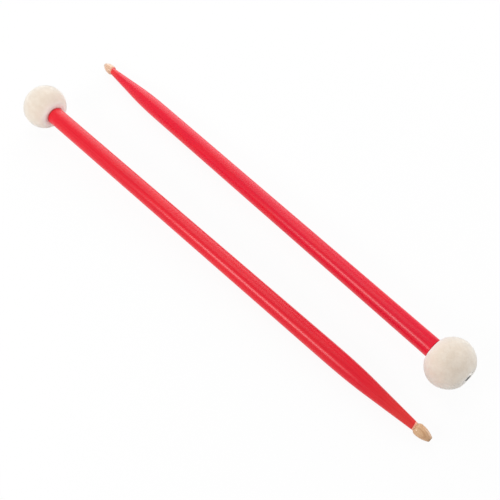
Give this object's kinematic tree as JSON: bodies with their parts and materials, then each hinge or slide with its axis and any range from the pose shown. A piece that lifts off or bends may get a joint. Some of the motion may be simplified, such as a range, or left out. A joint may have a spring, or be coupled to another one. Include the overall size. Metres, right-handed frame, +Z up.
{
  "type": "dual head drumstick",
  "caption": "Hickory drumsticks, each with an acorn tip at one end and a pressed felt ball on a tenon at the butt, laid head to tail.",
  "frame": {"origin": "middle of the floor area that the pair covers, on the surface that it lies on", "axes": "+X along the first stick from its tip to its felt ball, seen from above; +Z up"},
  "size_m": [0.4142, 0.0982, 0.0354],
  "materials": {
    "red_lacquered_hickory": "gloss red lacquer from neck to butt, tip and tenon bare",
    "cream_felt": "pressed wool felt, ground round, slightly fuzzy",
    "nickel_plate": "satin nickel plate",
    "dark_steel": "blackened steel"
  },
  "bodies": {
    "stick_a": {"stick_a_shaft": "red_lacquered_hickory", "stick_a_felt_ball": "cream_felt", "stick_a_washer": "nickel_plate", "stick_a_screw": "dark_steel"},
    "stick_b": {"stick_b_shaft": "red_lacquered_hickory", "stick_b_felt_ball": "cream_felt", "stick_b_washer": "nickel_plate", "stick_b_screw": "dark_steel"}
  },
  "joints": [
    {"name": "stick_b_lift", "type": "slide", "parent": "stick_a", "child": "stick_b", "axis": [0, 0, 1], "range_m": [0, 0.12]}
  ]
}
